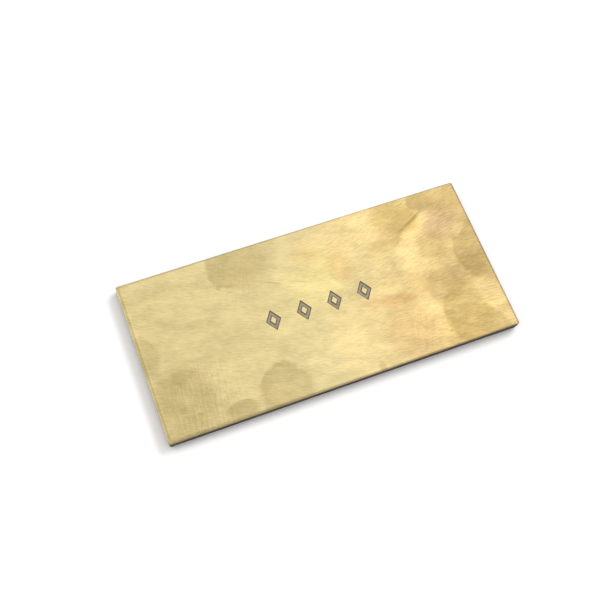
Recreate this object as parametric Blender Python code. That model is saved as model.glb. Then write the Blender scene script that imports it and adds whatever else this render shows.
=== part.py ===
"""A flat brass paperweight: a satin plate with an engraved, filled mark, bonded to a thin leather base pad.

Units are metres. +X runs along the plate, +Y across it and +Z up. The origin is the middle of the
underside of the base pad, on the surface that the paperweight rests on.
"""

import math

import bmesh
import bpy

# The plate's outline and section
PLATE_LENGTH = 0.1000
PLATE_WIDTH = 0.0460
PLATE_THICKNESS = 0.0021
CORNER_RADIUS = 0.0005  # upright corners
CORNER_SEGMENTS = 8
TOP_CHAMFER = 0.0004  # flat bevel round the top face
EDGE_BREAK = 0.00015  # small bevel round the underside

# The base pad and the film that holds it on
PAD_THICKNESS = 0.0008
PAD_INSET = 0.0001  # how far the pad's edge stands back from the plate's
SEAT_GAP = 0.0003  # room between the pad and the plate, which holds the film
FILM_THICKNESS = 0.0001
FILM_INSET = 0.0010  # how far the film stands back from the pad's edge

# The mark: a centred row of open lozenges, engraved in the top face and filled
MARK_COUNT = 4
MARK_PITCH = 0.0088
MARK_WIDTH = 0.0042
MARK_HEIGHT = 0.0060
MARK_STROKE = 0.0010
ENGRAVING_DEPTH = 0.0007
ENGRAVER_RADIUS = 0.00015  # rounding that the engraver leaves in each corner
ENGRAVER_SEGMENTS = 3
CUTTER_RISE = 0.0010  # how far a cutter stands above the top face
INFILL_THICKNESS = 0.0003
INFILL_CLEARANCE = 0.0001  # round an infill and under it

# Heights that follow from the sizes above
PAD_TOP = PAD_THICKNESS
PLATE_BOTTOM = PAD_TOP + SEAT_GAP
PLATE_TOP = PLATE_BOTTOM + PLATE_THICKNESS
FILM_BOTTOM = PAD_TOP + (SEAT_GAP - FILM_THICKNESS) / 2
ENGRAVING_FLOOR = PLATE_TOP - ENGRAVING_DEPTH
INFILL_BOTTOM = ENGRAVING_FLOOR + INFILL_CLEARANCE


def clear_scene():
    for obj in list(bpy.data.objects):
        bpy.data.objects.remove(obj)


def new_collection(name):
    collection = bpy.data.collections.new(name)
    bpy.context.scene.collection.children.link(collection)
    return collection


def finish(name, color, roughness, metallic):
    """A Principled BSDF material in one colour."""
    material = bpy.data.materials.new(name)
    material.use_nodes = True
    shader = material.node_tree.nodes["Principled BSDF"]
    shader.inputs["Base Color"].default_value = (*color, 1.0)
    shader.inputs["Roughness"].default_value = roughness
    shader.inputs["Metallic"].default_value = metallic
    material.diffuse_color = (*color, 1.0)
    return material


def new_object(name, shape, collection, material=None, location=(0.0, 0.0, 0.0)):
    """Turns a finished bmesh into an object and frees the bmesh."""
    mesh = bpy.data.meshes.new(name)
    shape.to_mesh(mesh)
    shape.free()
    if material:
        mesh.materials.append(material)
    obj = bpy.data.objects.new(name, mesh)
    obj.location = location
    collection.objects.link(obj)
    return obj


def upright_edges(shape):
    return [e for e in shape.edges if abs(e.verts[0].co.z - e.verts[1].co.z) > 1e-6]


def rim_edges(shape, height):
    """The edges round the flat face at this height."""
    return [e for e in shape.edges if all(abs(v.co.z - height) < 1e-6 for v in e.verts)]


def bevel(shape, edges, width, segments):
    bmesh.ops.bevel(
        shape, geom=edges, offset=width, offset_type="OFFSET", segments=segments, profile=0.5, affect="EDGES"
    )


def slab(length, width, bottom, top, corner_radius, top_bevel=0.0, bottom_bevel=0.0):
    """A flat block, centred in X and Y, with rounded upright corners and bevelled rims."""
    shape = bmesh.new()
    bmesh.ops.create_cube(shape, size=1.0)
    bmesh.ops.scale(shape, vec=(length, width, top - bottom), verts=shape.verts)
    bmesh.ops.translate(shape, vec=(0.0, 0.0, (top + bottom) / 2), verts=shape.verts)
    bevel(shape, upright_edges(shape), corner_radius, CORNER_SEGMENTS)
    for height, width_of_bevel in ((top, top_bevel), (bottom, bottom_bevel)):
        if width_of_bevel > 0:
            bevel(shape, rim_edges(shape, height), width_of_bevel, 1)
    return shape


def lozenge(inset, bottom, top):
    """An upright lozenge prism, this far inside the outline of one mark, with engraver-rounded corners."""
    half_width, half_height = MARK_WIDTH / 2, MARK_HEIGHT / 2
    middle_to_side = half_width * half_height / math.hypot(half_width, half_height)
    share = 1 - inset / middle_to_side
    shape = bmesh.new()
    bmesh.ops.create_cone(shape, cap_ends=True, segments=4, radius1=1.0, radius2=1.0, depth=1.0)
    bmesh.ops.scale(shape, vec=(half_width * share, half_height * share, top - bottom), verts=shape.verts)
    bmesh.ops.translate(shape, vec=(0.0, 0.0, (top + bottom) / 2), verts=shape.verts)
    round_corners(shape, half_width / half_height)
    return shape


def round_corners(shape, slope):
    """Rounds a lozenge's corners. Each arc starts radius / tan(half angle) from its corner, and slope is that
    tangent at the two tips."""
    edges = upright_edges(shape)
    tips = [e for e in edges if abs(e.verts[0].co.y) > abs(e.verts[0].co.x)]
    sides = [e for e in edges if e not in tips]
    bevel(shape, tips, ENGRAVER_RADIUS / slope, ENGRAVER_SEGMENTS)
    bevel(shape, sides, ENGRAVER_RADIUS * slope, ENGRAVER_SEGMENTS)


def cut(obj, cutter):
    modifier = obj.modifiers.new("cut_" + cutter.name, "BOOLEAN")
    modifier.operation = "DIFFERENCE"
    modifier.object = cutter


def as_cutter(obj):
    obj.hide_render = True
    obj.display_type = "WIRE"


def mark_places():
    """The X of each mark's middle, left to right."""
    return [(i - (MARK_COUNT - 1) / 2) * MARK_PITCH for i in range(MARK_COUNT)]


def make_plate(parts, cutters):
    """The brass plate, with a lozenge groove cut for each mark."""
    brass = finish("satin_brass", (0.79, 0.62, 0.30), 0.35, 1.0)
    shape = slab(
        PLATE_LENGTH, PLATE_WIDTH, PLATE_BOTTOM, PLATE_TOP, CORNER_RADIUS, TOP_CHAMFER, EDGE_BREAK
    )
    plate = new_object("brass_plate", shape, parts, brass)
    for number, x in enumerate(mark_places(), start=1):
        above = PLATE_TOP + CUTTER_RISE
        groove = new_object(
            f"groove_{number}", lozenge(0.0, ENGRAVING_FLOOR, above), cutters, location=(x, 0.0, 0.0)
        )
        island = new_object(
            f"island_{number}",
            lozenge(MARK_STROKE, ENGRAVING_FLOOR - CUTTER_RISE, above + CUTTER_RISE),
            cutters,
            location=(x, 0.0, 0.0),
        )
        cut(groove, island)
        cut(plate, groove)
        as_cutter(groove)
        as_cutter(island)


def make_infills(parts, cutters):
    """One enamel infill for each groove: a flat lozenge ring that clears the groove's walls and floor."""
    enamel = finish("mark_enamel", (0.30, 0.26, 0.20), 0.7, 0.0)
    top = INFILL_BOTTOM + INFILL_THICKNESS
    for number, x in enumerate(mark_places(), start=1):
        infill = new_object(
            f"mark_infill_{number}",
            lozenge(INFILL_CLEARANCE, INFILL_BOTTOM, top),
            parts,
            enamel,
            (x, 0.0, 0.0),
        )
        middle = new_object(
            f"middle_{number}",
            lozenge(MARK_STROKE - INFILL_CLEARANCE, INFILL_BOTTOM - CUTTER_RISE, top + CUTTER_RISE),
            cutters,
            location=(x, 0.0, 0.0),
        )
        cut(infill, middle)
        as_cutter(middle)


def make_base(parts):
    """The leather pad under the plate, and the film between them."""
    leather = finish("dark_leather", (0.055, 0.038, 0.028), 0.8, 0.0)
    adhesive = finish("adhesive", (0.75, 0.72, 0.62), 0.5, 0.0)
    pad_length, pad_width = PLATE_LENGTH - 2 * PAD_INSET, PLATE_WIDTH - 2 * PAD_INSET
    pad = slab(pad_length, pad_width, 0.0, PAD_TOP, CORNER_RADIUS - PAD_INSET)
    new_object("base_pad", pad, parts, leather)
    film = slab(
        pad_length - 2 * FILM_INSET,
        pad_width - 2 * FILM_INSET,
        FILM_BOTTOM,
        FILM_BOTTOM + FILM_THICKNESS,
        CORNER_RADIUS,
    )
    new_object("adhesive_film", film, parts, adhesive)


def main():
    clear_scene()
    parts = new_collection("paperweight")
    cutters = new_collection("cutters")
    make_plate(parts, cutters)
    make_infills(parts, cutters)
    make_base(parts)


main()
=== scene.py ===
"""A hand-rubbed brass paperweight on a dark leather pad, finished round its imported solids.

The plate is swept round its outline, cut by a row of lozenge marks and filled with enamel. A film and a
leather pad lie under it. Everything is in metres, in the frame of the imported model: +X along the plate,
+Y across it, +Z up, and the origin under its middle.
"""

import logging
import math
from dataclasses import dataclass, field
from enum import Enum
from typing import NamedTuple, Sequence

import bmesh
import bpy
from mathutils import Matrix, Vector


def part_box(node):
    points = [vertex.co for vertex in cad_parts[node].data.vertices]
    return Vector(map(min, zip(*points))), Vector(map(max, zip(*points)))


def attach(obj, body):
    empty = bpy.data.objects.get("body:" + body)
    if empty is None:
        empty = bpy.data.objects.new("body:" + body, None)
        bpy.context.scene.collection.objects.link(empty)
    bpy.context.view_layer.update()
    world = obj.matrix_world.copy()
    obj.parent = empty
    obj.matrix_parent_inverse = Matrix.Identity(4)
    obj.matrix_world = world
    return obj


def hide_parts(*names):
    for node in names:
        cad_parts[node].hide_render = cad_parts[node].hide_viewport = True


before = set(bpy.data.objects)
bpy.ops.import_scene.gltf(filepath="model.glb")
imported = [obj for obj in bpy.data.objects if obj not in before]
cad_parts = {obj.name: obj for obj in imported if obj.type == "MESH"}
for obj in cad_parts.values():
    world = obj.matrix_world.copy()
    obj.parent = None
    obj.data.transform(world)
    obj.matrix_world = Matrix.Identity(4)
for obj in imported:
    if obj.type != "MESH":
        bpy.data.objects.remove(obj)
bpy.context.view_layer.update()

LOG = logging.getLogger("paperweight")

MM = 0.001
Colour = tuple[float, float, float]
Ring = list[tuple[float, float, float]]
Section = Sequence[tuple[float, float]]
Material = bpy.types.Material
Piece = bpy.types.Object
Socket = bpy.types.NodeSocket
Tree = bpy.types.NodeTree
Feed = float | Sequence[float] | Socket


# Node trees

NODE_SPACING = 200
MIX_A, MIX_B, MIX_RESULT = 6, 7, 2  # a Mix node's colour sockets


class Cells(NamedTuple):
    """Fractal noise: how many cells it has per metre, its detail and its roughness."""

    scale: Feed
    detail: float = 2.0
    roughness: float = 0.5


class Ramp(NamedTuple):
    """A smooth step from low to high, put out between start and end."""

    low: Feed
    high: Feed
    start: Feed = 0.0
    end: Feed = 1.0


class Wiring:
    """Adds nodes to one tree and joins their sockets."""

    def __init__(self, tree: Tree) -> None:
        """Keeps the shader or geometry node tree that the nodes go in."""
        self.tree = tree

    def node(self, kind: str, **settings: object) -> bpy.types.Node:
        """Adds a node.

        Args:
            kind: The node's type name.
            settings: Its properties, by name.

        Returns:
            The new node.
        """
        made = self.tree.nodes.new(kind)
        made.location = (NODE_SPACING * len(self.tree.nodes), 0)
        for name, value in settings.items():
            setattr(made, name, value)
        return made

    def feed(self, socket: Socket, value: Feed) -> None:
        """Links a socket to another, or sets its number or vector.

        Args:
            socket: The input to fill.
            value: An output socket, a number, a vector or a colour.
        """
        if isinstance(value, Socket):
            self.tree.links.new(value, socket)
        elif socket.type == "RGBA" and len(value) == 3:
            socket.default_value = (*value, 1.0)
        else:
            socket.default_value = value

    def output(self, kind: str, inputs: dict[str, Feed], **settings: object) -> Socket:
        """Adds a node and fills its inputs.

        Args:
            kind: The node's type name.
            inputs: What goes in each input, by name.
            settings: Its properties, by name.

        Returns:
            Its first output.
        """
        made = self.node(kind, **settings)
        for name, value in inputs.items():
            self.feed(made.inputs[name], value)
        return made.outputs[0]

    def worked(self, kind: str, operation: str, values: Sequence[Feed]) -> bpy.types.Node:
        """Adds a node that works out one operation.

        Args:
            kind: The node's type name.
            operation: What it works out.
            values: Its inputs in order.

        Returns:
            The new node.
        """
        made = self.node(kind, operation=operation)
        for socket, value in zip(made.inputs, values):
            self.feed(socket, value)
        return made

    def math(self, operation: str, *values: Feed) -> Socket:
        """The result of a Math node."""
        return self.worked("ShaderNodeMath", operation, values).outputs[0]

    def plus(self, a: Feed, b: Feed) -> Socket:
        """The sum a + b."""
        return self.math("ADD", a, b)

    def minus(self, a: Feed, b: Feed) -> Socket:
        """The difference a - b."""
        return self.math("SUBTRACT", a, b)

    def times(self, a: Feed, b: Feed) -> Socket:
        """The product a * b."""
        return self.math("MULTIPLY", a, b)

    def over(self, a: Feed, b: Feed) -> Socket:
        """The quotient a / b."""
        return self.math("DIVIDE", a, b)

    def swing(self, value: Feed, size: Feed) -> Socket:
        """A value from 0 to 1 turned into one round 0, over this size."""
        return self.times(self.minus(value, 0.5), size)

    def vector(self, operation: str, *values: Feed) -> Socket:
        """The result of a Vector Math node that puts out a vector."""
        return self.worked("ShaderNodeVectorMath", operation, values).outputs["Vector"]

    def measure(self, operation: str, *values: Feed) -> Socket:
        """The result of a Vector Math node that puts out a number."""
        return self.worked("ShaderNodeVectorMath", operation, values).outputs["Value"]

    def turned(self, vector: Feed, angle: Feed) -> Socket:
        """A vector turned round the Z axis by this angle in radians."""
        inputs = {"Vector": vector, "Angle": angle}
        return self.output("ShaderNodeVectorRotate", inputs, rotation_type="Z_AXIS")

    def split(self, vector: Feed) -> tuple[Socket, ...]:
        """Splits a vector.

        Args:
            vector: The vector.

        Returns:
            Its three parts.
        """
        made = self.node("ShaderNodeSeparateXYZ")
        self.feed(made.inputs[0], vector)
        return tuple(made.outputs)

    def join(self, x: Feed, y: Feed, z: Feed) -> Socket:
        """The vector with this X, Y and Z."""
        return self.output("ShaderNodeCombineXYZ", {"X": x, "Y": y, "Z": z})

    def step(self, value: Feed, ramp: Ramp) -> Socket:
        """A smooth step of a value."""
        inputs = dict(zip(("Value", "From Min", "From Max", "To Min", "To Max"), (value, *ramp)))
        return self.output("ShaderNodeMapRange", inputs, interpolation_type="SMOOTHSTEP")

    def noise(self, vector: Feed, cells: Cells) -> Socket:
        """Fractal noise from 0 to 1."""
        inputs = dict(zip(("Vector", "Scale", "Detail", "Roughness"), (vector, *cells)))
        return self.output("ShaderNodeTexNoise", inputs, noise_dimensions="3D")

    def mix(self, factor: Feed, a: Feed, b: Feed, blend: str = "MIX") -> Socket:
        """Two colours mixed.

        Args:
            factor: How much of the second shows.
            a: The first colour.
            b: The second colour.
            blend: The way they mix.

        Returns:
            The mixed colour.
        """
        made = self.node("ShaderNodeMix", data_type="RGBA", blend_type=blend)
        self.feed(made.inputs["Factor"], factor)
        self.feed(made.inputs[MIX_A], a)
        self.feed(made.inputs[MIX_B], b)
        return made.outputs[MIX_RESULT]

    def group(self, tree: Tree, **values: Feed) -> Socket:
        """Places a node group.

        Args:
            tree: The group.
            values: Its inputs by name, with _ for each space.

        Returns:
            What the group puts out.
        """
        inputs = {name.replace("_", " "): value for name, value in values.items()}
        return self.output("ShaderNodeGroup", inputs, node_tree=tree)


class ShaderGroup:
    """A shader node group in the making, which puts out one number."""

    def __init__(self, name: str, vectors: Sequence[str], numbers: Sequence[str], result: str) -> None:
        """Makes the group's tree and its sockets.

        Args:
            name: The group's name.
            vectors: The names of its vector inputs.
            numbers: The names of its number inputs.
            result: The name of its output.
        """
        self.tree = bpy.data.node_groups.new(name, "ShaderNodeTree")
        for labels, kind in ((vectors, "Vector"), (numbers, "Float")):
            for label in labels:
                self.tree.interface.new_socket(label, in_out="INPUT", socket_type=f"NodeSocket{kind}")
        self.tree.interface.new_socket(result, in_out="OUTPUT", socket_type="NodeSocketFloat")
        self.wiring = Wiring(self.tree)
        self.inputs = self.wiring.node("NodeGroupInput").outputs
        self.result = self.wiring.node("NodeGroupOutput").inputs[0]

    def give(self, value: Socket) -> Tree:
        """Puts out this value and gives the finished group."""
        self.wiring.feed(self.result, value)
        return self.tree


GRAIN_DRIFT = Cells(60.0)
GRAIN_LINES = Cells(1.0, 2.5, 0.62)  # per line
SMUDGE_FACING = Ramp(-0.6, 0.9)
SMUDGE_MIDDLE = 0.35  # where a hollow smudge starts to fill, as a share of its radius
LEAST_RADIUS = 0.001
RIM_DETAIL, RIM_ROUGHNESS = 3.0, 0.6
SPECK_CORE = 0.5  # the solid part of a speck


def make_grain_group() -> Tree:
    """Thin rubbed lines that lean one way, and that turn through a bend along X to lean another way.

    Both leans are slopes, and each fans out with Y.

    Returns:
        A group with the lines' Tone from 0 to 1.
    """
    leans = ("Lean", "Lean Fan", "End Lean", "End Fan", "Bend Start", "Bend Run")
    lines = ("Line Width", "Line Length", "Wander", "Seed")
    group = ShaderGroup("rubbed_grain", ["Vector"], leans + lines, "Tone")
    w, given = group.wiring, group.inputs
    x, y, z = w.split(given["Vector"])
    lean = w.plus(given["Lean"], w.times(given["Lean Fan"], y))
    end_lean = w.plus(given["End Lean"], w.times(given["End Fan"], y))
    past = w.math("MAXIMUM", w.minus(x, given["Bend Start"]), 0.0)
    within = w.math("MINIMUM", past, given["Bend Run"])
    turned = w.over(w.times(within, within), w.times(given["Bend Run"], 2.0))
    turned = w.plus(turned, w.minus(past, within))
    line = w.plus(w.times(x, lean), w.times(w.minus(end_lean, lean), turned))
    wander = w.swing(w.noise(given["Vector"], GRAIN_DRIFT), given["Wander"])
    across = w.plus(w.minus(y, line), wander)
    place = w.join(
        w.over(x, given["Line Length"]),
        w.over(across, given["Line Width"]),
        w.plus(w.over(z, given["Line Width"]), given["Seed"]),
    )
    return group.give(w.noise(place, GRAIN_LINES))


def make_smudge_group() -> Tree:
    """One oval smudge, sharper on its own +X side than on the other, and paler in the middle.

    Rough is a number round 0 that makes its rim ragged.

    Returns:
        A group with the smudge's Mask.
    """
    vectors, numbers = ("Vector", "Centre", "Radii"), ("Turn", "Crisp", "Soft", "Rough", "Hollow")
    group = ShaderGroup("smudge", vectors, numbers, "Mask")
    w, given = group.wiring, group.inputs
    offset = w.vector("SUBTRACT", given["Vector"], given["Centre"])
    share = w.vector("DIVIDE", w.turned(offset, w.times(given["Turn"], -1.0)), given["Radii"])
    radius = w.measure("LENGTH", share)
    rim = w.plus(radius, given["Rough"])
    forward = w.measure("DOT_PRODUCT", share, (1.0, 0.0, 0.0))
    facing = w.step(w.over(forward, w.math("MAXIMUM", radius, LEAST_RADIUS)), SMUDGE_FACING)
    softness = w.plus(given["Soft"], w.times(facing, w.minus(given["Crisp"], given["Soft"])))
    mask = w.step(rim, Ramp(w.minus(1.0, softness), w.plus(1.0, softness), 1.0, 0.0))
    middle = w.step(rim, Ramp(SMUDGE_MIDDLE, 1.0, given["Hollow"], 0.0))
    return group.give(w.times(mask, w.minus(1.0, middle)))


def make_rim_group() -> Tree:
    """How near a point is to the outline of a rectangle round the origin.

    Returns:
        A group with a Mask that is 1 on the outline and 0 past the reach, with a ragged end.
    """
    numbers = ("Half Length", "Half Width", "Reach", "Ragged", "Cells")
    group = ShaderGroup("rim_wear_and_shade", ["Vector"], numbers, "Mask")
    w, given = group.wiring, group.inputs
    x, y, _ = w.split(given["Vector"])
    from_ends = w.minus(given["Half Length"], w.math("ABSOLUTE", x))
    from_sides = w.minus(given["Half Width"], w.math("ABSOLUTE", y))
    rough = w.noise(given["Vector"], Cells(given["Cells"], RIM_DETAIL, RIM_ROUGHNESS))
    rough = w.times(w.swing(rough, given["Ragged"]), given["Reach"])
    distance = w.plus(w.math("MINIMUM", from_ends, from_sides), rough)
    return group.give(w.step(distance, Ramp(0.0, given["Reach"], 1.0, 0.0)))


def make_speck_group() -> Tree:
    """Scattered round specks: pits in enamel, pores in leather or dust on a film.

    Returns:
        A group with the specks' Mask.
    """
    group = ShaderGroup("specks", ["Vector"], ("Spacing", "Size", "Share", "Seed"), "Mask")
    w, given = group.wiring, group.inputs
    shifted = w.vector("ADD", given["Vector"], w.join(given["Seed"], 0.0, given["Seed"]))
    cells = w.node("ShaderNodeTexVoronoi", voronoi_dimensions="3D", feature="F1")
    w.feed(cells.inputs["Vector"], shifted)
    w.feed(cells.inputs["Scale"], w.over(1.0, given["Spacing"]))
    core = w.times(given["Size"], SPECK_CORE)
    near = w.step(cells.outputs["Distance"], Ramp(core, given["Size"], 1.0, 0.0))
    red, _, _ = w.split(cells.outputs["Color"])
    return group.give(w.times(near, w.math("LESS_THAN", red, given["Share"])))


@dataclass(frozen=True)
class Effects:
    """The shader groups that the finishes share."""

    grain: Tree
    smudge: Tree
    rim: Tree
    specks: Tree

    @classmethod
    def make(cls) -> "Effects":
        """Builds each group once."""
        return cls(make_grain_group(), make_smudge_group(), make_rim_group(), make_speck_group())


# Finishes


class Shading:
    """A material in the making: its wiring, its own coordinates and its Principled shader."""

    def __init__(self, name: str) -> None:
        """Makes the material.

        Args:
            name: The material's name.
        """
        self.material = bpy.data.materials.new(name)
        self.material.use_nodes = True
        self.wiring = Wiring(self.material.node_tree)
        self.shader = self.material.node_tree.nodes["Principled BSDF"]
        self.place = self.wiring.node("ShaderNodeTexCoord").outputs["Object"]

    def set(self, **values: Feed) -> None:
        """Fills the shader's sockets by name, with _ for each space."""
        for name, value in values.items():
            self.wiring.feed(self.shader.inputs[name.replace("_", " ")], value)

    def bump(self, height: Feed, depth: float) -> None:
        """Feeds the shader's normal from a height, where 1 stands for this depth in metres."""
        inputs = {"Height": height, "Distance": depth, "Strength": 1.0}
        self.set(Normal=self.wiring.output("ShaderNodeBump", inputs))


def shaded(colour: Colour, share: float) -> Colour:
    """A colour made lighter or darker by this share."""
    return tuple(part * share for part in colour)


@dataclass(frozen=True)
class Specks:
    """Specks scattered at random: how far apart, how large and how many of them show."""

    spacing: float
    size: float
    share: float
    seed: float

    def mask(self, look: Shading, effects: Effects) -> Socket:
        """The specks' mask in one material."""
        spread = {"Spacing": self.spacing, "Size": self.size, "Share": self.share, "Seed": self.seed}
        return look.wiring.group(effects.specks, Vector=look.place, **spread)


@dataclass(frozen=True)
class Rim:
    """Darkening round an outline, real wear on the leather and painted shade on the brass: how far it
    reaches, how ragged it is and its noise's cells.
    """

    reach: float
    ragged: float
    cells: float

    def mask(
        self, w: Wiring, effects: Effects, place: Socket, half_length: float, half_width: float
    ) -> Socket:
        """The rim's mask round an outline of this size."""
        outline = {"Vector": place, "Half_Length": half_length, "Half_Width": half_width}
        return w.group(effects.rim, **outline, Reach=self.reach, Ragged=self.ragged, Cells=self.cells)


class Tone(Enum):
    """What a mark left by a hand or by rubbing does to the brass under it. BRIGHT also stands for a painted
    highlight along the left edge.
    """

    DULL = (0.66, 0.61, 0.51)
    OLIVE = (0.67, 0.60, 0.35)
    AMBER = (0.92, 0.76, 0.70)
    ROSE = (0.95, 0.87, 1.04)
    BRIGHT = (1.22, 1.21, 1.20)
    LEMON = (1.15, 1.17, 0.98)


@dataclass(frozen=True)
class Smudge:
    """One patch on the top face.

    Places and radii are in millimetres from the plate's middle, and turn is where its crisp side faces,
    in degrees.
    """

    x: float
    y: float
    along: float
    across: float
    turn: float
    tone: Tone
    strength: float
    crisp: float = 0.10
    soft: float = 0.50
    hollow: float = 0.0


SMUDGES = (
    Smudge(-16.5, 18.5, 9.5, 7.0, 180, Tone.DULL, 0.48, 0.05, 0.50),
    Smudge(-50.0, 1.0, 5.2, 5.5, 45, Tone.DULL, 0.26, 0.05, 0.40),
    Smudge(-42.5, -14.0, 9.0, 8.5, 100, Tone.DULL, 0.42, 0.20, 0.45),
    Smudge(-42.4, -7.3, 1.8, 2.2, 200, Tone.DULL, 0.28, 0.15, 0.40),
    Smudge(-29.4, -20.6, 2.5, 4.3, 95, Tone.DULL, 0.50, 0.08, 0.35),
    Smudge(-16.3, -19.8, 7.8, 7.0, 96, Tone.DULL, 0.54, 0.06, 0.30, 0.32),
    Smudge(-50.0, 0.0, 36.0, 30.0, 0, Tone.DULL, 0.30, 0.80, 0.80),
    Smudge(37.6, -15.5, 6.6, 8.6, 180, Tone.OLIVE, 0.42, 0.03, 0.45, 0.30),
    Smudge(38.3, -22.5, 9.0, 10.0, 30, Tone.OLIVE, 0.29, 0.04, 0.45, 0.35),
    Smudge(51.5, 0.5, 9.6, 10.6, 160, Tone.DULL, 0.46, 0.03, 0.40),
    Smudge(40.2, -3.6, 10.0, 4.2, 10, Tone.DULL, 0.44, 0.30, 0.60),
    Smudge(37.0, -7.4, 4.2, 2.4, 40, Tone.DULL, 0.30, 0.30, 0.60),
    Smudge(38.8, 20.6, 4.2, 2.8, 190, Tone.DULL, 0.50, 0.08, 0.50),
    Smudge(30.0, 17.8, 6.8, 4.4, 320, Tone.OLIVE, 0.50, 0.10, 0.70),
    Smudge(24.6, 10.9, 6.0, 2.6, 20, Tone.OLIVE, 0.28, 0.30, 0.70),
    Smudge(33.6, 15.2, 4.6, 0.45, 28, Tone.DULL, 0.60, 0.30, 0.60),
    Smudge(36.8, 6.5, 4.2, 5.2, 180, Tone.OLIVE, 0.30, 0.25, 0.60),
    Smudge(41.0, 12.3, 5.6, 4.0, 200, Tone.ROSE, 0.75, 0.25, 0.60),
    Smudge(45.5, 17.5, 5.0, 3.4, 170, Tone.DULL, 0.40, 0.40, 0.70),
    Smudge(49.0, 16.0, 8.0, 12.0, 180, Tone.DULL, 0.26, 0.80, 0.80),
    Smudge(9.5, 9.2, 5.4, 3.4, 260, Tone.AMBER, 0.50, 0.10, 0.70),
    Smudge(1.0, 16.0, 3.6, 3.2, 200, Tone.AMBER, 0.35, 0.30, 0.60),
    Smudge(19.5, -5.4, 7.0, 1.6, 350, Tone.AMBER, 0.60, 0.25, 0.60),
    Smudge(28.0, -4.0, 6.5, 2.6, 10, Tone.DULL, 0.26, 0.30, 0.60),
    Smudge(21.5, -15.5, 7.0, 8.0, 180, Tone.AMBER, 0.35, 0.30, 0.60),
    Smudge(9.6, -22.4, 2.0, 0.9, 90, Tone.DULL, 0.40, 0.30, 0.60),
    Smudge(18.0, 18.0, 10.0, 4.5, 10, Tone.BRIGHT, 0.50, 0.50, 0.80),
    Smudge(29.4, 7.4, 6.6, 2.6, 62, Tone.BRIGHT, 0.85, 0.30, 0.60),
    Smudge(36.2, 14.4, 3.8, 1.5, 28, Tone.BRIGHT, 0.70, 0.30, 0.60),
    Smudge(29.3, -13.5, 2.4, 9.0, 10, Tone.BRIGHT, 0.75, 0.15, 0.80),
    Smudge(2.0, 8.0, 10.0, 7.0, 30, Tone.LEMON, 0.55, 0.50, 0.80),
    Smudge(4.0, -15.0, 12.0, 6.5, 350, Tone.BRIGHT, 0.30, 0.40, 0.80),
    Smudge(47.0, -12.0, 4.2, 5.0, 200, Tone.BRIGHT, 0.80, 0.20, 0.60),
    # Painted highlight: a bright band along the left edge's bevel.
    Smudge(-50.4, 0.0, 1.6, 26.0, 0, Tone.BRIGHT, 0.75, 0.30, 0.30),
    Smudge(-9.6, 10.2, 1.9, 0.14, 337, Tone.DULL, 0.75, 0.40, 0.60),
    Smudge(-2.9, 8.4, 1.9, 0.12, 340, Tone.DULL, 0.60, 0.40, 0.60),
)


@dataclass(frozen=True)
class Rubbing:
    """One pass of rubbed lines. The leans are slopes at the left and right. Sizes are in millimetres."""

    lean: float
    end_lean: float
    width: float
    length: float
    share: float
    lean_fan: float = -4.0
    end_fan: float = 8.0


RUBBINGS = (
    Rubbing(-0.33, 0.06, 0.29, 2.6, 0.35),
    Rubbing(-0.38, 0.02, 0.17, 1.7, 0.40),
    Rubbing(-0.27, 0.10, 0.13, 3.5, 0.15),
    Rubbing(0.25, 0.40, 0.16, 1.6, 0.10, 0.0, 0.0),
)


@dataclass(frozen=True)
class CrossRub:
    """A patch where lines run another way. Sizes are in millimetres and the angle is in degrees."""

    x: float
    y: float
    along: float
    across: float
    angle: float
    share: float
    width: float = 0.28
    length: float = 4.0


CROSS_RUBS = (
    CrossRub(-38.5, -15.0, 9.0, 9.5, 83, 0.60),
    CrossRub(24.5, -15.5, 3.2, 6.5, 76, 0.40, 0.45, 6.0),
    CrossRub(-21.0, 15.0, 7.0, 8.0, 70, 0.25),
)
PASS_SEED = 7.0
PATCH_SEED = 3.0


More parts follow.
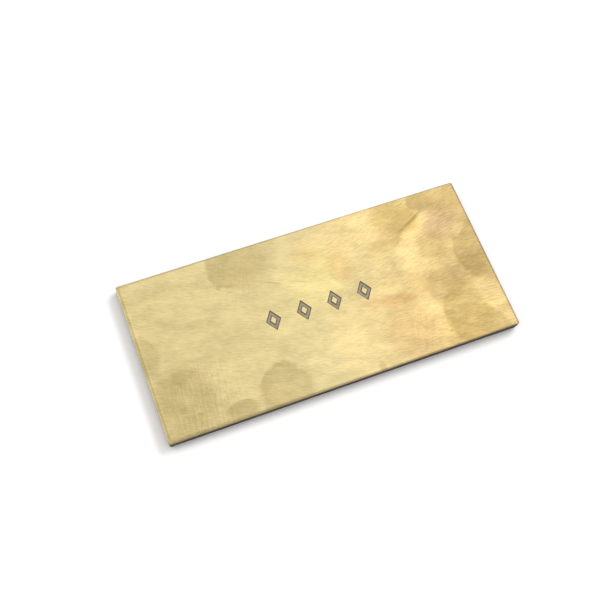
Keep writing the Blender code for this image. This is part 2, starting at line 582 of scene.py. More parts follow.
@dataclass(frozen=True)
class SatinBrass:
    """The top face and bevels: rubbed by hand, then handled. Painted shade darkens the outline, most at the
    right end, and the long bevels low down.
    """

    effects: Effects
    half_length: float
    half_width: float
    top: float
    pale: Colour = (0.750, 0.626, 0.320)
    deep: Colour = (0.812, 0.612, 0.283)
    pale_to_deep: Ramp = Ramp(-0.010, 0.038)
    drift: Cells = Cells(45.0, 3.0)
    drift_reach: float = 0.04
    torn: Cells = Cells(190.0, 4.0, 0.6)
    torn_share: float = 0.55
    bend_start: float = -8.0 * MM
    bend_run: float = 22.0 * MM
    wander: float = 1.5 * MM
    cross_wander: float = 0.5 * MM
    patch_softness: float = 0.5
    cloud: Cells = Cells(260.0, 4.0, 0.6)
    cloud_stretch: float = 0.45
    cloud_lean: float = 0.2
    cloud_share: float = 0.5
    contrast: Ramp = Ramp(-0.01, 0.04, 1.0, 1.5)
    levels: Ramp = Ramp(0.26, 0.74, 0.77, 1.20)
    rim: Rim = Rim(0.5 * MM, 0.5, 400.0)
    rim_shade: Colour = (0.60, 0.60, 0.64)
    rim_shift: float = 0.2 * MM
    bevel_shade: Colour = (0.35, 0.33, 0.34)
    bevel_shade_share: float = 0.75
    bevel_shade_depth: tuple[float, float] = (0.75 * MM, 0.1 * MM)
    bevel_shade_width: tuple[float, float] = (1.2 * MM, 0.6 * MM)
    roughness: float = 0.24
    dull: Ramp = Ramp(0.6, 1.0, 1.0, 0.0)
    dulled: float = 0.06
    streaked: float = 0.15
    line_depth: float = 0.02 * MM

    def make(self) -> Material:
        """Builds the material.

        Returns:
            The finished material.
        """
        look = Shading("satin_brass")
        w = look.wiring
        x, y, z = w.split(look.place)
        side = w.plus(x, w.swing(w.noise(look.place, self.drift), self.drift_reach))
        tint = self.handled(look)
        brass = w.mix(w.step(side, self.pale_to_deep), self.pale, self.deep)
        colour = w.mix(1.0, brass, tint, "MULTIPLY")
        tone = self.clouded(look, x, y, z)
        shade = w.step(tone, self.levels)
        colour = w.mix(1.0, colour, w.join(shade, shade, shade), "MULTIPLY")
        # Painted shade: the outline is darkened with a bluish grey, shifted along X so that the right end
        # gets the most.
        shifted = w.vector("ADD", look.place, (self.rim_shift, 0.0, 0.0))
        rim = self.rim.mask(w, self.effects, shifted, self.half_length, self.half_width)
        colour = w.mix(rim, colour, self.rim_shade, "MULTIPLY")
        # Painted shade: a neutral grey darkens the long bevels low down, near both sides.
        colour = w.mix(self.shade_on_long_bevels(w, y, z), colour, self.bevel_shade, "MULTIPLY")
        _, green, _ = w.split(tint)
        rough = w.plus(self.roughness, w.times(w.step(green, self.dull), self.dulled))
        rough = w.plus(rough, w.swing(tone, self.streaked))
        look.set(Base_Color=colour, Metallic=1.0, Roughness=rough)
        look.bump(tone, self.line_depth)
        return look.material

    def handled(self, look: Shading) -> Socket:
        """The tint that every smudge together gives the brass.

        Args:
            look: The material it goes in.

        Returns:
            The tint's socket.
        """
        w = look.wiring
        ragged = w.swing(w.noise(look.place, self.torn), self.torn_share)
        tint: Feed = (1.0, 1.0, 1.0)
        for smudge in SMUDGES:
            tint = w.mix(self.smudge_mask(look, smudge, ragged), tint, smudge.tone.value, "MULTIPLY")
        return tint

    def smudge_mask(self, look: Shading, smudge: Smudge, ragged: Socket) -> Socket:
        """One smudge's mask, times its strength.

        Args:
            look: The material it goes in.
            smudge: Its place and shape.
            ragged: A number round 0 that breaks up its rim.

        Returns:
            The mask's socket.
        """
        mask = look.wiring.group(
            self.effects.smudge,
            Vector=look.place,
            Centre=(smudge.x * MM, smudge.y * MM, 0.0),
            Radii=(smudge.along * MM, smudge.across * MM, 1.0),
            Turn=math.radians(smudge.turn),
            Crisp=smudge.crisp,
            Soft=smudge.soft,
            Rough=ragged,
            Hollow=smudge.hollow,
        )
        return look.wiring.times(mask, smudge.strength)

    def clouded(self, look: Shading, x: Socket, y: Socket, z: Socket) -> Socket:
        """The rubbed tone with soft clouds over it, stronger towards the right.

        Args:
            look: The material it goes in.
            x: Each point's X.
            y: Each point's Y.
            z: Each point's Z.

        Returns:
            The tone's socket, round 0.5.
        """
        w = look.wiring
        tone = self.rubbed(look)
        leaning = w.plus(y, w.times(x, self.cloud_lean))
        cloud = w.noise(w.join(w.times(x, self.cloud_stretch), leaning, z), self.cloud)
        tone = w.plus(tone, w.swing(cloud, self.cloud_share))
        return w.plus(w.swing(tone, w.step(x, self.contrast)), 0.5)

    def rubbed(self, look: Shading) -> Socket:
        """The sum of every pass of rubbed lines.

        Args:
            look: The material it goes in.

        Returns:
            The sum's socket, from 0 to 1.
        """
        w = look.wiring
        total: Feed = 0.0
        for number, pass_ in enumerate(RUBBINGS):
            lines = w.group(
                self.effects.grain,
                Vector=look.place,
                Lean=pass_.lean,
                Lean_Fan=pass_.lean_fan,
                End_Lean=pass_.end_lean,
                End_Fan=pass_.end_fan,
                Bend_Start=self.bend_start,
                Bend_Run=self.bend_run,
                Line_Width=pass_.width * MM,
                Line_Length=pass_.length * MM,
                Wander=self.wander,
                Seed=PASS_SEED * number,
            )
            total = w.plus(total, w.times(lines, pass_.share))
        for number, patch in enumerate(CROSS_RUBS):
            total = w.plus(total, self.cross_rub(look, patch, PATCH_SEED + number))
        return total

    def cross_rub(self, look: Shading, patch: CrossRub, seed: float) -> Socket:
        """What one patch of crossing lines adds to the rubbed tone.

        Args:
            look: The material it goes in.
            patch: Its place and lines.
            seed: Moves its lines to other noise.

        Returns:
            A number round 0.
        """
        w = look.wiring
        lines = w.group(
            self.effects.grain,
            Vector=w.turned(look.place, -math.radians(patch.angle)),
            Bend_Run=1.0,
            Line_Width=patch.width * MM,
            Line_Length=patch.length * MM,
            Wander=self.cross_wander,
            Seed=seed,
        )
        mask = w.group(
            self.effects.smudge,
            Vector=look.place,
            Centre=(patch.x * MM, patch.y * MM, 0.0),
            Radii=(patch.along * MM, patch.across * MM, 1.0),
            Crisp=self.patch_softness,
            Soft=self.patch_softness,
        )
        return w.swing(lines, w.times(mask, patch.share))

    def shade_on_long_bevels(self, w: Wiring, y: Socket, z: Socket) -> Socket:
        """Where painted shade darkens the long bevels: near the sides and low down.

        Args:
            w: The material's wiring.
            y: Each point's Y.
            z: Each point's Z.

        Returns:
            The mask's socket.
        """
        deep, shallow = (self.top - depth for depth in self.bevel_shade_depth)
        inner, outer = (self.half_width - width for width in self.bevel_shade_width)
        low = w.step(z, Ramp(deep, shallow, self.bevel_shade_share, 0.0))
        return w.times(low, w.step(w.math("ABSOLUTE", y), Ramp(inner, outer)))


@dataclass(frozen=True)
class DarkSide:
    """The sides: turned brown, bare at the freshly filed left end, and worn bright along the upper edge."""

    half_length: float
    top: float
    brown: Colour = (0.050, 0.036, 0.028)
    bare: Colour = (0.66, 0.47, 0.20)
    light_share: float = 1.7
    dark_share: float = 0.5
    saw_along: float = 2600.0
    saw_up: float = 500.0
    saw_share: float = 0.4
    saw_noise: Cells = Cells(1.0)
    cloud: Cells = Cells(220.0, 3.0)
    clouding: Ramp = Ramp(0.35, 0.7)
    drift: float = 0.5 * MM
    worn_depth: tuple[float, float] = (0.45 * MM, 0.05 * MM)
    worn_share: float = 0.25
    end_depth: tuple[float, float] = (0.25 * MM, 0.02 * MM)
    end_share: float = 0.75
    shine: float = 0.12
    satin: Ramp = Ramp(0.3, 0.7, 0.5, 0.7)
    saw_depth: float = 0.02 * MM

    def make(self) -> Material:
        """Builds the material.

        Returns:
            The finished material.
        """
        look = Shading("browned_sides")
        w = look.wiring
        x, y, z = w.split(look.place)
        along = w.times(w.plus(x, y), self.saw_along)
        saw = w.noise(w.join(along, 0.0, w.times(z, self.saw_up)), self.saw_noise)
        cloud = w.noise(look.place, self.cloud)
        drift = w.swing(cloud, self.drift)
        low, high = (self.top - depth for depth in self.worn_depth)
        worn = w.step(w.plus(z, drift), Ramp(low, high, 0.0, self.worn_share))
        inner, outer = (self.half_length - depth for depth in self.end_depth)
        cut_end = w.step(w.minus(drift, x), Ramp(inner, outer, 0.0, self.end_share))
        bare = w.math("MAXIMUM", worn, cut_end)
        brown = w.mix(w.step(cloud, self.clouding), self.brown, shaded(self.brown, self.light_share))
        brown = w.mix(w.times(saw, self.saw_share), brown, shaded(self.brown, self.dark_share))
        look.set(Base_Color=w.mix(bare, brown, self.bare), Metallic=bare, Specular_IOR_Level=self.shine)
        look.set(Roughness=w.step(saw, self.satin))
        look.bump(saw, self.saw_depth)
        return look.material


@dataclass(frozen=True)
class GrooveWall:
    """The engraved walls and lips: bare brass, darkened towards the floor by grime and painted shade."""

    top: float
    bright: Colour = (0.45, 0.34, 0.17)
    grimy_shade: Colour = (0.07, 0.055, 0.035)
    grime_and_shade: Cells = Cells(2200.0, 3.0)
    grime_reach: float = 0.1 * MM
    clean_depth: float = 0.12 * MM
    metal: float = 0.9
    satin: Ramp = Ramp(0.2, 0.8, 0.4, 0.6)
    grime_depth: float = 0.01 * MM

    def make(self) -> Material:
        """Builds the material.

        Returns:
            The finished material.
        """
        look = Shading("engraved_walls")
        w = look.wiring
        _, _, z = w.split(look.place)
        grime_and_shade = w.noise(look.place, self.grime_and_shade)
        height = w.plus(z, w.swing(grime_and_shade, self.grime_reach))
        # Grime and painted shade: the walls darken towards the groove floor.
        clean = w.step(height, Ramp(self.top - self.clean_depth, self.top))
        look.set(Base_Color=w.mix(clean, self.grimy_shade, self.bright), Metallic=self.metal)
        look.set(Roughness=w.step(grime_and_shade, self.satin))
        look.bump(grime_and_shade, self.grime_depth)
        return look.material


@dataclass(frozen=True)
class Enamel:
    """The marks' filling: matt grey-brown, mottled, with a few pits, and darkened along the walls by grime
    and painted shade.
    """

    effects: Effects
    middle: float
    edge: float
    body: Colour = (0.330, 0.285, 0.215)
    shade: Colour = (0.225, 0.190, 0.140)
    grime_and_shade: Colour = (0.070, 0.055, 0.040)
    mottle: Cells = Cells(1900.0, 3.0, 0.6)
    mottling: Ramp = Ramp(0.3, 0.7)
    pits: Specks = Specks(0.25 * MM, 0.28, 0.35, 3.0)
    pit_share: float = 0.5
    matt: Ramp = Ramp(0.2, 0.8, 0.5, 0.75)
    relief: float = 0.02 * MM

    def make(self) -> Material:
        """Builds the material.

        Returns:
            The finished material.
        """
        look = Shading("mark_enamel")
        w = look.wiring
        mottle = w.noise(look.place, self.mottle)
        pits = self.pits.mask(look, self.effects)
        colour = w.mix(w.step(mottle, self.mottling), self.shade, self.body)
        colour = w.mix(w.times(pits, self.pit_share), colour, self.shade)
        _, _, z = w.split(look.place)
        # Grime and painted shade: the enamel darkens where it rises against the walls.
        colour = w.mix(w.step(z, Ramp(self.middle, self.edge)), colour, self.grime_and_shade)
        look.set(Base_Color=colour, Roughness=w.step(mottle, self.matt))
        look.bump(w.minus(mottle, pits), self.relief)
        return look.material


@dataclass(frozen=True)
class Leather:
    """The pad's dark leather: suede face below, burnished round the cut edge."""

    effects: Effects
    half_length: float
    half_width: float
    flesh: Colour = (0.060, 0.040, 0.028)
    edge: Colour = (0.028, 0.019, 0.014)
    nap: Cells = Cells(2600.0, 4.0, 0.65)
    nap_share: float = 0.45
    nap_depth: float = 0.06 * MM
    brushed: Cells = Cells(90.0, 3.0, 0.6)
    brushing: Ramp = Ramp(0.35, 0.65)
    light_share: float = 1.6
    pores: Specks = Specks(0.5 * MM, 0.35, 0.6, 9.0)
    pore_share: float = 0.6
    rim: Rim = Rim(0.6 * MM, 0.8, 900.0)
    rim_share: float = 0.85
    shine: float = 0.2
    polish: Ramp = Ramp(0.0, 1.0, 0.92, 0.65)

    def make(self) -> Material:
        """Builds the material.

        Returns:
            The finished material.
        """
        look = Shading("dark_leather")
        w = look.wiring
        nap = w.noise(look.place, self.nap)
        brushed = w.step(w.noise(look.place, self.brushed), self.brushing)
        pores = self.pores.mask(look, self.effects)
        rim = self.rim.mask(w, self.effects, look.place, self.half_length, self.half_width)
        colour = w.mix(brushed, self.flesh, shaded(self.flesh, self.light_share))
        for mask, share in ((nap, self.nap_share), (rim, self.rim_share), (pores, self.pore_share)):
            colour = w.mix(w.times(mask, share), colour, self.edge)
        look.set(Base_Color=colour, Specular_IOR_Level=self.shine, Roughness=w.step(rim, self.polish))
        look.bump(w.minus(nap, pores), self.nap_depth)
        return look.material


@dataclass(frozen=True)
class Film:
    """The bonding film's edge: yellowed and dusty."""

    effects: Effects
    body: Colour = (0.20, 0.16, 0.10)
    dark_share: float = 0.6
    cloud: Cells = Cells(600.0, 3.0)
    clouding: Ramp = Ramp(0.3, 0.7)
    dust: Specks = Specks(0.3 * MM, 0.3, 0.4, 5.0)
    dust_colour: Colour = (0.05, 0.04, 0.03)
    dust_share: float = 0.6
    satin: Ramp = Ramp(0.2, 0.8, 0.4, 0.6)
    relief: float = 0.01 * MM

    def make(self) -> Material:
        """Builds the material.

        Returns:
            The finished material.
        """
        look = Shading("bonding_film")
        w = look.wiring
        cloud = w.noise(look.place, self.cloud)
        colour = w.mix(w.step(cloud, self.clouding), self.body, shaded(self.body, self.dark_share))
        dust = w.times(self.dust.mask(look, self.effects), self.dust_share)
        colour = w.mix(dust, colour, self.dust_colour)
        look.set(Base_Color=colour, Roughness=w.step(cloud, self.satin))
        look.bump(cloud, self.relief)
        return look.material


# Shapes


MERGE_DISTANCE = 0.001 * MM
CORNER_SEGMENTS = 9
SIDE_FLAG = 0.9
DRAW_DETAIL = 3.0
ROUND_MIDDLE = 0.3  # how far in the middle of a rounded edge lies, as a share of its radius
# The bevel's curve: how far in and how far down it goes, as shares of its width
BEVEL_CURVE = ((0.10, 0.70), (0.30, 0.42), (0.60, 0.18), (0.95, 0.04), (1.30, 0.0))
BEVEL_END = 1.5  # where the flat of the top face starts, in the same shares
SIDE_ROWS = (1.2, 0.9)  # how far down the side's last rows lie, in the same shares
SWEEP_SIZES = ("Length", "Width", "Corner Radius", "Core Inset", "Spacing", "Bevel Right", "Bevel Left")
SWEEP_NOISE = ("Unevenness", "Roughness Cells")


def place(obj: Piece) -> Piece:
    """Links an object to the scene."""
    bpy.context.scene.collection.objects.link(obj)
    return obj


def mesh_object(name: str, shape: bmesh.types.BMesh) -> Piece:
    """Turns a bmesh into a linked object and frees it.

    Args:
        name: The object's name.
        shape: The finished shape.

    Returns:
        The new object.
    """
    mesh = bpy.data.meshes.new(name)
    shape.to_mesh(mesh)
    shape.free()
    return place(bpy.data.objects.new(name, mesh))


def plain_copy(obj: Piece) -> Piece:
    """Replaces an object by the plain mesh that its modifiers make.

    Args:
        obj: A mesh object with live modifiers, which is removed.

    Returns:
        The plain object, under the same name.
    """
    name = obj.name
    graph = bpy.context.evaluated_depsgraph_get()
    evaluated = obj.evaluated_get(graph)
    mesh = bpy.data.meshes.new_from_object(evaluated, preserve_all_data_layers=True, depsgraph=graph)
    bpy.data.objects.remove(obj)
    mesh.name = name
    return place(bpy.data.objects.new(name, mesh))


def smooth(obj: Piece, sharp_angle: float) -> None:
    """Shades an object smooth, except across sharp edges and between two finishes.

    Args:
        obj: The object.
        sharp_angle: The least angle of a sharp edge, in degrees.
    """
    obj.data.shade_smooth()
    obj.data.set_sharp_from_angle(angle=math.radians(sharp_angle))
    shape = bmesh.new()
    shape.from_mesh(obj.data)
    for edge in shape.edges:
        if len({face.material_index for face in edge.link_faces}) > 1:
            edge.smooth = False
    shape.to_mesh(obj.data)
    shape.free()


def loft(rings: Sequence[Ring]) -> bmesh.types.BMesh:
    """Joins rings of equal length into one closed tube, the last ring back to the first.

    Args:
        rings: The rings in order round the tube's section.

    Returns:
        The closed shape with its faces pointing out.
    """
    shape = bmesh.new()
    rows = [[shape.verts.new(point) for point in ring] for ring in rings]
    for row, following in zip(rows, rows[1:] + rows[:1]):
        for i, vertex in enumerate(row):
            nearby = (i + 1) % len(row)
            shape.faces.new((vertex, row[nearby], following[nearby], following[i]))
    bmesh.ops.recalc_face_normals(shape, faces=shape.faces)
    return shape


@dataclass(frozen=True)
class Row:
    """One row of points round a slab's edge. The bevel shares move it in and down as the bevel widens."""

    inset: float
    height: float
    bevel_in: float = 0.0
    bevel_down: float = 0.0
    side: float = 0.0


def geometry_tree(name: str, inputs: dict[str, str]) -> Wiring:
    """Starts a geometry node tree that takes and puts out a Geometry.

    Args:
        name: The tree's name.
        inputs: The kind of each further input, by name.

    Returns:
        The new tree's wiring.
    """
    tree = bpy.data.node_groups.new(name, "GeometryNodeTree")
    for label, kind in {"Geometry": "Geometry", **inputs}.items():
        tree.interface.new_socket(label, in_out="INPUT", socket_type=f"NodeSocket{kind}")
    tree.interface.new_socket("Geometry", in_out="OUTPUT", socket_type="NodeSocketGeometry")
    return Wiring(tree)


def sweep_tree() -> Tree:
    """A geometry node tree that sweeps rows of points round a rounded rectangle.

    Each row is drawn in towards a core rectangle, so its corners stay clean. The bevel widens along X.

    Returns:
        The tree.
    """
    materials = dict.fromkeys(("Material", "Side Material"), "Material")
    w = geometry_tree("edge_sweep", dict.fromkeys(SWEEP_SIZES + SWEEP_NOISE, "Float") | materials)
    given = w.node("NodeGroupInput").outputs
    section = w.output("GeometryNodeMeshToCurve", {"Mesh": given["Geometry"]})
    swept = w.output("GeometryNodeCurveToMesh", {"Curve": outline_curve(w, given), "Profile Curve": section})
    moved = w.output("GeometryNodeSetPosition", {"Geometry": swept, "Position": drawn_in(w, given)})
    coloured = w.output("GeometryNodeSetMaterial", {"Geometry": moved, "Material": given["Material"]})
    chosen = w.math("GREATER_THAN", attribute(w, "side"), SIDE_FLAG)
    side_inputs = {"Geometry": coloured, "Selection": chosen, "Material": given["Side Material"]}
    sides = w.output("GeometryNodeSetMaterial", side_inputs)
    real = w.output("GeometryNodeRealizeInstances", {"Geometry": sides})
    w.feed(w.node("NodeGroupOutput").inputs[0], real)
    return w.tree


def attribute(w: Wiring, name: str) -> Socket:
    """A named number that the section's points carry."""
    return w.output("GeometryNodeInputNamedAttribute", {"Name": name}, data_type="FLOAT")


def outline_curve(w: Wiring, given: bpy.types.bpy_prop_collection) -> Socket:
    """The rounded rectangle, with extra points only along its straight runs.

    Args:
        w: The tree's wiring.
        given: The tree's inputs.

    Returns:
        The curve's socket.
    """
    sizes = {"Width": given["Length"], "Height": given["Width"]}
    outline = w.output("GeometryNodeCurvePrimitiveQuadrilateral", sizes)
    rounding = {"Curve": outline, "Count": CORNER_SEGMENTS, "Radius": given["Corner Radius"]}
    rounded = w.output("GeometryNodeFilletCurve", rounding, mode="POLY")
    here = w.node("GeometryNodeSplineParameter").outputs["Length"]
    lookup = {"Value": here, "Index": w.plus(w.node("GeometryNodeInputIndex").outputs[0], 1.0)}
    following = w.output("GeometryNodeFieldAtIndex", lookup, data_type="FLOAT", domain="POINT")
    run = w.math("MAXIMUM", w.minus(following, here), 0.0)
    cuts = w.math("FLOOR", w.over(run, given["Spacing"]))
    finer = w.output("GeometryNodeSubdivideCurve", {"Curve": rounded, "Cuts": cuts})
    return w.output("GeometryNodeSetCurveNormal", {"Curve": finer}, mode="Z_UP")


def drawn_in(w: Wiring, given: bpy.types.bpy_prop_collection) -> Socket:
    """Where each swept point goes: in towards the core rectangle, and down with the bevel.

    Args:
        w: The tree's wiring.
        given: The tree's inputs.

    Returns:
        The position's socket.
    """
    position = w.node("GeometryNodeInputPosition").outputs[0]
    x, y, z = w.split(position)
    share = w.minus(0.5, w.over(x, given["Length"]))
    span = w.minus(given["Bevel Left"], given["Bevel Right"])
    bevel = w.plus(given["Bevel Right"], w.times(span, share))
    rough = w.noise(position, Cells(given["Roughness Cells"], DRAW_DETAIL))
    inset = w.plus(attribute(w, "inset"), w.times(attribute(w, "bevel_in"), bevel))
    inset = w.plus(inset, w.times(rough, given["Unevenness"]))
    part = w.over(inset, given["Core Inset"])
    drawn = []
    for value, size in ((x, given["Length"]), (y, given["Width"])):
        half = w.minus(w.times(size, 0.5), given["Core Inset"])
        core = w.math("MAXIMUM", w.math("MINIMUM", value, half), w.times(half, -1.0))
        drawn.append(w.plus(value, w.times(w.minus(core, value), part)))
    height = w.minus(z, w.times(attribute(w, "bevel_down"), bevel))
    return w.join(*drawn, height)


@dataclass
class Sweep:
    """Sweeps slabs with one geometry node tree."""

    tree: Tree = field(default_factory=sweep_tree)

    def make(self, name: str, rows: Sequence[Row], **values: object) -> Piece:
        """Sweeps one section and closes the slab above and below.

        Args:
            name: The piece's name.
            rows: The section, from the bottom face round to the top face.
            values: The tree's inputs by name, with _ for each space.

        Returns:
            A closed plain slab.
        """
        slab = mesh_object(name, self.section(rows))
        run_tree(slab, self.tree, values)
        slab = plain_copy(slab)
        shape = bmesh.new()
        shape.from_mesh(slab.data)
        bmesh.ops.remove_doubles(shape, verts=shape.verts, dist=MERGE_DISTANCE)
        bmesh.ops.holes_fill(shape, edges=[e for e in shape.edges if e.is_boundary], sides=0)
        bmesh.ops.recalc_face_normals(shape, faces=shape.faces)
        shape.to_mesh(slab.data)
        shape.free()
        return slab

    def section(self, rows: Sequence[Row]) -> bmesh.types.BMesh:
        """The rows as a chain of points that carry their numbers.

        Args:
            rows: The section, from the bottom face round to the top face.

        Returns:
            The chain.
        """
        shape = bmesh.new()
        carried = ("inset", "bevel_in", "bevel_down", "side")
        layers = {label: shape.verts.layers.float.new(label) for label in carried}
        points = []
        for row in rows:
            points.append(shape.verts.new((0.0, -row.height, 0.0)))
            for label, layer in layers.items():
                points[-1][layer] = getattr(row, label)
        for start, end in zip(points, points[1:]):
            shape.edges.new((start, end))
        return shape


def run_tree(obj: Piece, tree: Tree, values: dict[str, object]) -> None:
    """Adds a node tree to an object and sets its inputs.

    Args:
        obj: The object.
        tree: The geometry node tree.
        values: Its inputs by name, with _ for each space.
    """
    modifier = obj.modifiers.new(tree.name, "NODES")
    modifier.node_group = tree
    identifiers = {s.name: s.identifier for s in tree.interface.items_tree if s.in_out == "INPUT"}
    for name, value in values.items():
        modifier[identifiers[name.replace("_", " ")]] = value
    obj.update_tag()


def finished(piece: Piece, nodes: Sequence[str]) -> Piece:
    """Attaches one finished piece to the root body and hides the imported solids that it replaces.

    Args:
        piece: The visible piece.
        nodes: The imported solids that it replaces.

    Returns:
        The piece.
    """
    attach(piece, "root")
    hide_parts(*nodes)
    return piece


def row_tree() -> Tree:
    """A geometry node tree that repeats a shape along X, centred on the origin.

    Returns:
        The tree.
    """
    w = geometry_tree("mark_row", {"Count": "Int", "Pitch": "Float", "Material": "Material"})
    given = w.node("NodeGroupInput").outputs
    first = w.times(w.times(w.minus(given["Count"], 1.0), given["Pitch"]), -0.5)
    start, step = w.join(first, 0.0, 0.0), w.join(given["Pitch"], 0.0, 0.0)
    line_inputs = {"Count": given["Count"], "Start Location": start, "Offset": step}
    line = w.output("GeometryNodeMeshLine", line_inputs, mode="OFFSET")
    copies = w.output("GeometryNodeInstanceOnPoints", {"Points": line, "Instance": given["Geometry"]})
    real = w.output("GeometryNodeRealizeInstances", {"Geometry": copies})
    coloured = w.output("GeometryNodeSetMaterial", {"Geometry": real, "Material": given["Material"]})
    w.feed(w.node("NodeGroupOutput").inputs[0], coloured)
    return w.tree


@dataclass
class MarkRow:
    """The centred row of open lozenges: its grooves, as one cutter, and its enamel."""

    effects: Effects
    top: float
    centres: list[float]
    width: float = 4.2 * MM
    height: float = 6.0 * MM
    stroke: float = 1.0 * MM
    depth: float = 0.7 * MM
    corner_radius: float = 0.15 * MM
    corner_segments: int = 5
    lip: float = 0.05 * MM
    cutter_rise: float = 0.5 * MM
    fill_bottom: float = 0.68 * MM
    fill_edge: float = 0.16 * MM
    fill_middle: float = 0.21 * MM
    wall_gap: float = 0.005 * MM
    sharp_angle: float = 50.0
    tree: Tree = field(default_factory=row_tree)

    @property
    def pitch(self) -> float:
        """The distance between two marks' middles."""
        return (self.centres[-1] - self.centres[0]) / (len(self.centres) - 1)

    def ring(self, inset: float, below: float) -> Ring:
        """One lozenge with rounded corners.

        Args:
            inset: How far inside the mark's outline it lies.
            below: How far under the top face it lies.

        Returns:
            Its points, anticlockwise from +X.
        """
        half_width, half_height = self.width / 2, self.height / 2
        share = 1 - inset * math.hypot(half_width, half_height) / (half_width * half_height)
        reach = (half_width * share, half_height * share)
        side_half_angle = math.atan2(half_height, half_width)
        points: Ring = []
        for corner in range(4):
            half_angle = side_half_angle if corner % 2 == 0 else math.pi / 2 - side_half_angle
            axis = corner * math.pi / 2
            centre = reach[corner % 2] - self.corner_radius / math.sin(half_angle)
            sweep = math.pi / 2 - half_angle
            for i in range(self.corner_segments + 1):
                angle = axis + sweep * (2 * i / self.corner_segments - 1)
                x = centre * math.cos(axis) + self.corner_radius * math.cos(angle)
                y = centre * math.sin(axis) + self.corner_radius * math.sin(angle)
                points.append((x, y, self.top - below))
        return points

    def repeated(self, name: str, section: Section, material: Material) -> Piece:
        """Lofts one mark from its section and repeats it along the row.

        Args:
            name: The object's name.
            section: (inset, depth below the top face) round the section.
            material: Its finish.

        Returns:
            The plain row.
        """
        mark = mesh_object(name, loft([self.ring(inset, below) for inset, below in section]))
        mark.data.materials.append(material)
        run_tree(mark, self.tree, {"Count": len(self.centres), "Pitch": self.pitch, "Material": material})
        return plain_copy(mark)

    def cutter(self, material: Material) -> Piece:
        """The grooves as a solid that flares at the lips.

        Args:
            material: The finish that it leaves on the walls.

        Returns:
            The solid.
        """
        above, far = -self.cutter_rise, self.stroke
        section = [(0.0, self.depth), (0.0, self.lip), (-self.lip, 0.0), (-self.lip, above)]
        section += [(far + self.lip, above), (far + self.lip, 0.0), (far, self.lip), (far, self.depth)]
        return self.repeated("groove_cutter", section, material)

    def build(self) -> Piece:
        """Makes the enamel in the grooves, low in the middle and drawn up at the walls.

        Returns:
            The finished row of enamel.
        """
        near, far = self.wall_gap, self.stroke - self.wall_gap
        middle, shoulder = self.stroke / 2, self.stroke / 4
        shoulder_depth = (self.fill_edge + 2 * self.fill_middle) / 3
        section = [
            (near, self.fill_bottom),
            (near, self.fill_edge),
            (shoulder, shoulder_depth),
            (middle, self.fill_middle),
            (far - shoulder, shoulder_depth),
            (far, self.fill_edge),
            (far, self.fill_bottom),
        ]
        enamel = Enamel(self.effects, self.top - self.fill_middle, self.top - self.fill_edge).make()
        piece = self.repeated("mark_enamel_row", section, enamel)
        smooth(piece, self.sharp_angle)
        return finished(piece, [f"mark_infill_{n}" for n in range(1, len(self.centres) + 1)])


@dataclass
class BrassPlate:
    """The brass plate with its filed bevels, sides turned brown and engraved grooves."""

    effects: Effects
    sweep: Sweep
    marks: MarkRow
    low: Vector
    high: Vector
    corner_radius: float = 0.5 * MM
    bevel_right: float = 0.13 * MM
    bevel_left: float = 0.68 * MM
    edge_break: float = 0.12 * MM
    border: float = 0.3 * MM
    core_inset: float = 4.0 * MM
    spacing: float = 1.0 * MM
    unevenness: float = 0.012 * MM
    roughness_cells: float = 300.0
    sharp_angle: float = 35.0

    def rows(self) -> list[Row]:
        """The edge's section, from the underside round to the top face.

        Returns:
            The section's rows.
        """
        bottom, top = self.low.z, self.high.z
        edge = self.edge_break
        middle = edge * ROUND_MIDDLE
        under = [(edge + self.border, bottom), (edge, bottom), (middle, bottom + middle)]
        under.append((0.0, bottom + edge))
        rows = [Row(inset, height, side=1.0) for inset, height in under]
        rows += [Row(0.0, top, 0.0, down, side=1.0) for down in SIDE_ROWS]
        rows += [Row(0.0, top, inward, down) for inward, down in BEVEL_CURVE]
        rows.append(Row(self.border, top, BEVEL_END, 0.0))
        return rows

    def build(self) -> Piece:
        """Sweeps, engraves and dresses the plate.

        Returns:
            The finished plate.
        """
        plate = self.sweep.make(
            "satin_brass_plate",
            self.rows(),
            Length=self.high.x - self.low.x,
            Width=self.high.y - self.low.y,
            Corner_Radius=self.corner_radius,
            Core_Inset=self.core_inset,
            Spacing=self.spacing,
            Bevel_Right=self.bevel_right,
            Bevel_Left=self.bevel_left,
            Unevenness=self.unevenness,
            Roughness_Cells=self.roughness_cells,
            Material=SatinBrass(self.effects, self.high.x, self.high.y, self.high.z).make(),
            Side_Material=DarkSide(self.high.x, self.high.z).make(),
        )
        cutter = self.marks.cutter(GrooveWall(self.high.z).make())
        cut = plate.modifiers.new("grooves", "BOOLEAN")
        cut.operation = "DIFFERENCE"
        cut.object = cutter
        cut.solver = "EXACT"
        cut.material_mode = "TRANSFER"
        plate = plain_copy(plate)
        bpy.data.objects.remove(cutter)
        smooth(plate, self.sharp_angle)
        return finished(plate, ["brass_plate"])


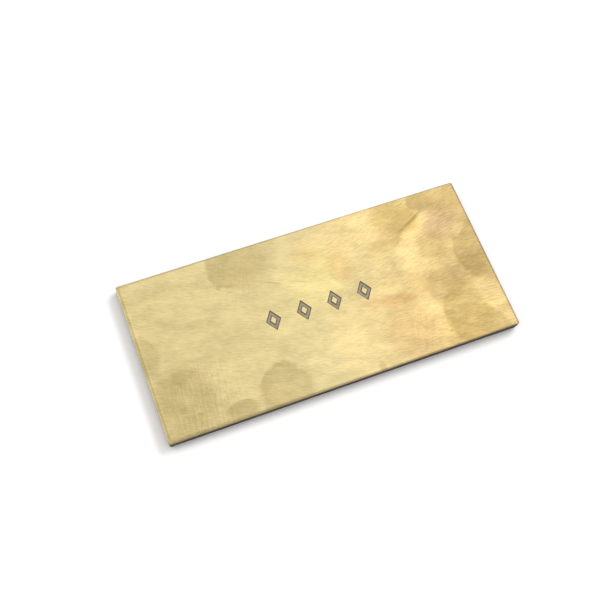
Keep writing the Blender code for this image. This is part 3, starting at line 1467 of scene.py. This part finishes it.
@dataclass
class BasePad:
    """The leather pad and the film that bonds it to the plate."""

    effects: Effects
    sweep: Sweep
    low: Vector
    high: Vector
    plate_bottom: float
    corner_radius: float = 0.5 * MM
    edge_round: float = 0.16 * MM
    border: float = 0.8 * MM
    core_inset: float = 4.0 * MM
    pad_spacing: float = 0.35 * MM
    pad_unevenness: float = 0.08 * MM
    pad_cells: float = 900.0
    sharp_angle: float = 60.0
    film_thickness: float = 0.2 * MM
    film_inset: float = 0.35 * MM
    film_spacing: float = 0.5 * MM
    film_unevenness: float = 0.25 * MM
    film_cells: float = 500.0

    @property
    def top(self) -> float:
        """The height of the leather's upper face."""
        return self.plate_bottom - self.film_thickness

    def swept(self, name: str, section: Section, finish: Material, **values: float) -> Piece:
        """Sweeps a slab in one finish.

        Args:
            name: The piece's name.
            section: (inset, height) from the bottom face round to the top face.
            finish: Its finish.
            values: More inputs of the sweep, by name.

        Returns:
            The slab.
        """
        rows = [Row(inset, height) for inset, height in section]
        shared = {"Corner_Radius": self.corner_radius, "Core_Inset": self.core_inset}
        return self.sweep.make(name, rows, **values, **shared, Material=finish, Side_Material=finish)

    def build(self) -> list[Piece]:
        """Makes the pad and the film.

        Returns:
            Both finished pieces.
        """
        length, width = self.high.x - self.low.x, self.high.y - self.low.y
        turn = self.edge_round
        middle = turn * ROUND_MIDDLE
        lower = [(self.border, 0.0), (turn, 0.0), (middle, middle), (0.0, turn), (0.0, self.top / 2)]
        upper = [(inset, self.top - height) for inset, height in reversed(lower[:-1])]
        pad = self.swept(
            "leather_pad",
            lower + upper,
            Leather(self.effects, length / 2, width / 2).make(),
            Length=length,
            Width=width,
            Spacing=self.pad_spacing,
            Unevenness=self.pad_unevenness,
            Roughness_Cells=self.pad_cells,
        )
        smooth(pad, self.sharp_angle)
        bottom, top = self.top, self.plate_bottom
        film = self.swept(
            "film_edge",
            [(self.border, bottom), (0.0, bottom), (0.0, top), (self.border, top)],
            Film(self.effects).make(),
            Length=length - 2 * self.film_inset,
            Width=width - 2 * self.film_inset,
            Spacing=self.film_spacing,
            Unevenness=self.film_unevenness,
            Roughness_Cells=self.film_cells,
        )
        return [finished(pad, ["base_pad"]), finished(film, ["adhesive_film"])]


# Studio


@dataclass(frozen=True)
class Softbox:
    """An area lamp aimed at the origin. Its sizes and distance are in metres and its angles in degrees."""

    name: str
    radiance: float
    width: float
    height: float
    distance: float
    azimuth: float
    elevation: float
    mirrored: bool = False

    def build(self) -> None:
        """Makes the lamp, which shows in the brass only if it is mirrored."""
        lamp = bpy.data.lights.new(self.name, "AREA")
        lamp.shape = "RECTANGLE"
        lamp.size = self.width
        lamp.size_y = self.height
        lamp.energy = self.radiance * math.pi * self.width * self.height
        azimuth, elevation = math.radians(self.azimuth), math.radians(self.elevation)
        flat = math.cos(elevation)
        towards = Vector((flat * math.cos(azimuth), flat * math.sin(azimuth), math.sin(elevation)))
        made = place(bpy.data.objects.new(self.name, lamp))
        made.location = towards * self.distance
        made.visible_glossy = self.mirrored
        made.rotation_euler = towards.to_track_quat("Z", "Y").to_euler()


@dataclass
class Studio:
    """The pale floor, the soft lights and the camera."""

    surround: float = 0.77
    tint: Colour = (1.0, 0.992, 0.96)
    floor_colour: Colour = (0.86, 0.86, 0.87)
    floor_roughness: float = 0.9
    floor_reach: float = 3.0
    lamps: tuple[Softbox, ...] = (
        Softbox("right_softbox", 9.2, 1.0, 0.5, 1.4, 23.0, 39.0),
        Softbox("left_softbox", 2.4, 0.8, 0.6, 1.4, 152.0, 47.0),
        Softbox("top_softbox", 0.40, 0.8, 0.8, 1.2, 60.0, 66.0, True),
    )
    lens: float = 60.856
    sensor: float = 36.0
    clip_start: float = 0.01
    clip_end: float = 10.0
    camera_place: tuple[float, float, float] = (-0.06129, -0.08713, 0.25556)
    camera_turn: tuple[float, float, float] = (22.452, -4.664, -21.082)

    def build(self) -> None:
        """Makes everything that isn't part of the paperweight."""
        bpy.context.scene.view_settings.view_transform = "Standard"
        self.make_surround()
        self.make_floor()
        for lamp in self.lamps:
            lamp.build()
        self.make_camera()

    def make_surround(self) -> None:
        """A plain, even white world."""
        world = bpy.data.worlds.new("surround")
        world.use_nodes = True
        background = world.node_tree.nodes["Background"].inputs
        background["Color"].default_value = (*self.tint, 1.0)
        background["Strength"].default_value = self.surround
        bpy.context.scene.world = world

    def make_floor(self) -> None:
        """A wide pale floor."""
        shape = bmesh.new()
        bmesh.ops.create_grid(shape, x_segments=1, y_segments=1, size=self.floor_reach)
        floor = mesh_object("floor", shape)
        look = Shading("pale_floor")
        look.set(Base_Color=self.floor_colour, Roughness=self.floor_roughness)
        floor.data.materials.append(look.material)

    def make_camera(self) -> None:
        """The camera, high in front of the plate's left half."""
        lens = bpy.data.cameras.new("camera")
        lens.lens = self.lens
        lens.sensor_width = self.sensor
        lens.clip_start = self.clip_start
        lens.clip_end = self.clip_end
        camera = place(bpy.data.objects.new("camera", lens))
        camera.location = self.camera_place
        camera.rotation_euler = [math.radians(angle) for angle in self.camera_turn]
        bpy.context.scene.camera = camera


def mark_centres() -> list[float]:
    """The X of each mark's middle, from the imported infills."""
    nodes = sorted(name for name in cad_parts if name.startswith("mark_infill_"))
    return [sum(corner.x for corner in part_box(name)) / 2 for name in nodes]


def main() -> None:
    """Builds the paperweight and its studio."""
    logging.basicConfig(level=logging.INFO, format="%(message)s")
    effects, sweep = Effects.make(), Sweep()
    plate_low, plate_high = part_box("brass_plate")
    marks = MarkRow(effects, plate_high.z, mark_centres())
    pad_low, pad_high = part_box("base_pad")
    plate = BrassPlate(effects, sweep, marks, plate_low, plate_high)
    pad = BasePad(effects, sweep, pad_low, pad_high, plate_low.z)
    for piece in (plate.build(), marks.build(), *pad.build()):
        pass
    Studio().build()


if __name__ == "__main__":
    main()
